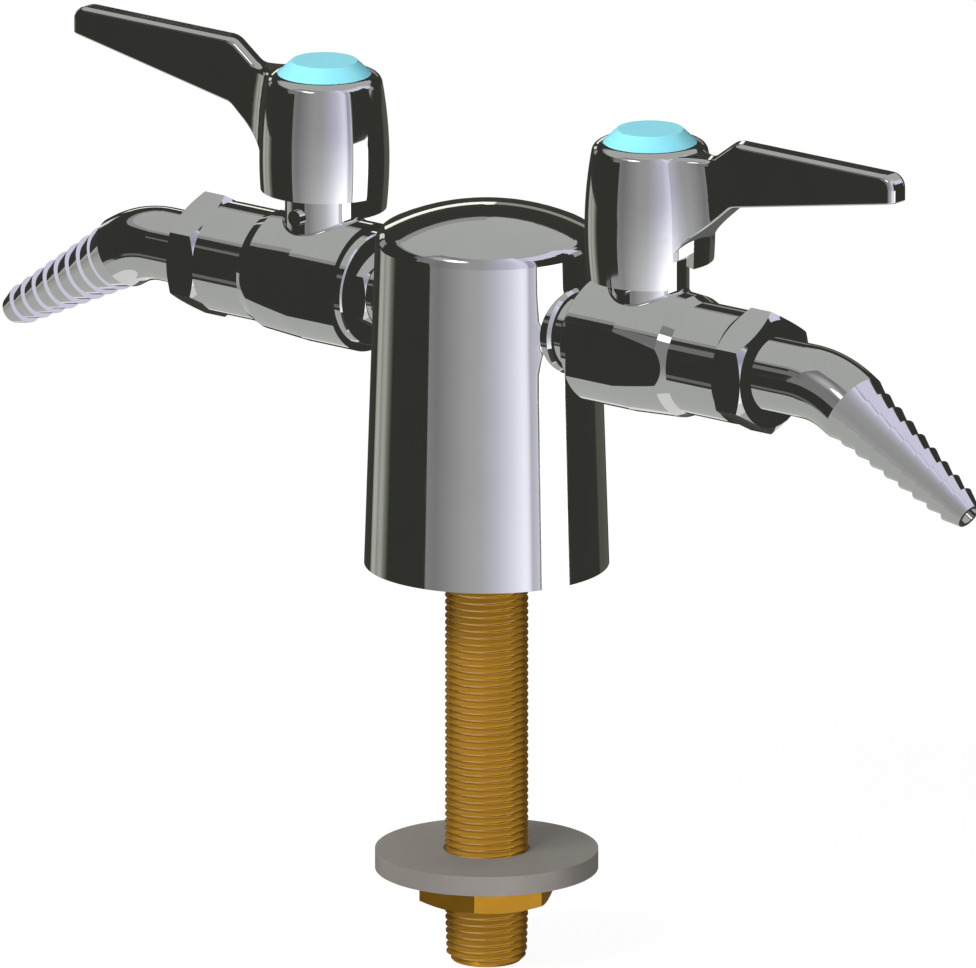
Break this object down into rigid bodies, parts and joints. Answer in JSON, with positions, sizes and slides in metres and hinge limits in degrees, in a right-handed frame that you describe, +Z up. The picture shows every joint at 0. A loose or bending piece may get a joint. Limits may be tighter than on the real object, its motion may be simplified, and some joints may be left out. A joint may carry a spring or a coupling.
{
  "type": "laboratory turret valve",
  "caption": "Deck-mounted laboratory valve: a chromed bell turret with opposed lever valves, bent serrated hose nozzles and a long threaded shank clamped from below.",
  "frame": {"origin": "centre of the turret's flat underside, where it stands on the deck", "axes": "+Z up along the shank, +X along the right-hand valve towards its outlet, +Y to the back"},
  "size_m": [0.322, 0.0626, 0.2299],
  "materials": {
    "chrome": "polished plate",
    "brass": "machined, bare",
    "washer_steel": "dull zinc grey",
    "stem_steel": "turned",
    "button_blue": "light blue, glossy",
    "seat_plastic": "white, waxy",
    "seal_rubber": "black"
  },
  "bodies": {
    "base": {"turret_body": "chrome", "shank": "brass", "right_inlet_nipple": "chrome", "right_body_seal": "seal_rubber", "right_valve_body": "chrome", "right_stop_pins": "chrome", "right_inlet_seat": "seat_plastic", "right_outlet_seat": "seat_plastic", "right_thrust_washer": "seat_plastic", "right_stem_packing": "seat_plastic", "right_gland_nut": "brass", "right_outlet_nut": "chrome", "right_nozzle_gasket": "seal_rubber", "left_inlet_nipple": "chrome", "left_body_seal": "seal_rubber", "left_valve_body": "chrome", "left_stop_pins": "chrome", "left_inlet_seat": "seat_plastic", "left_outlet_seat": "seat_plastic", "left_thrust_washer": "seat_plastic", "left_stem_packing": "seat_plastic", "left_gland_nut": "brass", "left_outlet_nut": "chrome", "left_nozzle_gasket": "seal_rubber"},
    "right_lever": {"right_handle": "chrome", "right_handle_screw": "stem_steel", "right_index_button": "button_blue", "right_stem": "stem_steel", "right_ball": "chrome"},
    "right_nozzle": {"right_nozzle": "chrome"},
    "left_lever": {"left_handle": "chrome", "left_handle_screw": "stem_steel", "left_index_button": "button_blue", "left_stem": "stem_steel", "left_ball": "chrome"},
    "left_nozzle": {"left_nozzle": "chrome"},
    "deck_washer": {"deck_washer": "washer_steel"},
    "locknut": {"locknut": "brass"}
  },
  "joints": [
    {"name": "right_lever_turn", "type": "hinge", "parent": "base", "child": "right_lever", "pos_m": [0.05413, 0, 0.09], "axis": [0, 0, 1], "range_deg": [-90, 0]},
    {"name": "right_nozzle_swivel", "type": "hinge", "parent": "base", "child": "right_nozzle", "pos_m": [0.091, 0, 0.06585], "axis": [1, 0, 0], "range_deg": [-180, 180]},
    {"name": "left_lever_turn", "type": "hinge", "parent": "base", "child": "left_lever", "pos_m": [-0.05413, 0, 0.09], "axis": [0, 0, 1], "range_deg": [-90, 0]},
    {"name": "left_nozzle_swivel", "type": "hinge", "parent": "base", "child": "left_nozzle", "pos_m": [-0.091, 0, 0.06585], "axis": [-1, 0, 0], "range_deg": [-180, 180]},
    {"name": "washer_slide", "type": "slide", "parent": "base", "child": "deck_washer", "axis": [0, 0, 1], "range_m": [-0.0135, 0.0755]},
    {"name": "locknut_turn", "type": "hinge", "parent": "deck_washer", "child": "locknut", "pos_m": [0, 0, -0.0849], "axis": [0, 0, 1], "range_deg": [-2680, 14985]}
  ],
  "couplings": [
    {"joint": "locknut_turn", "follows": "washer_slide", "rad_per_m": 3463.2}
  ]
}
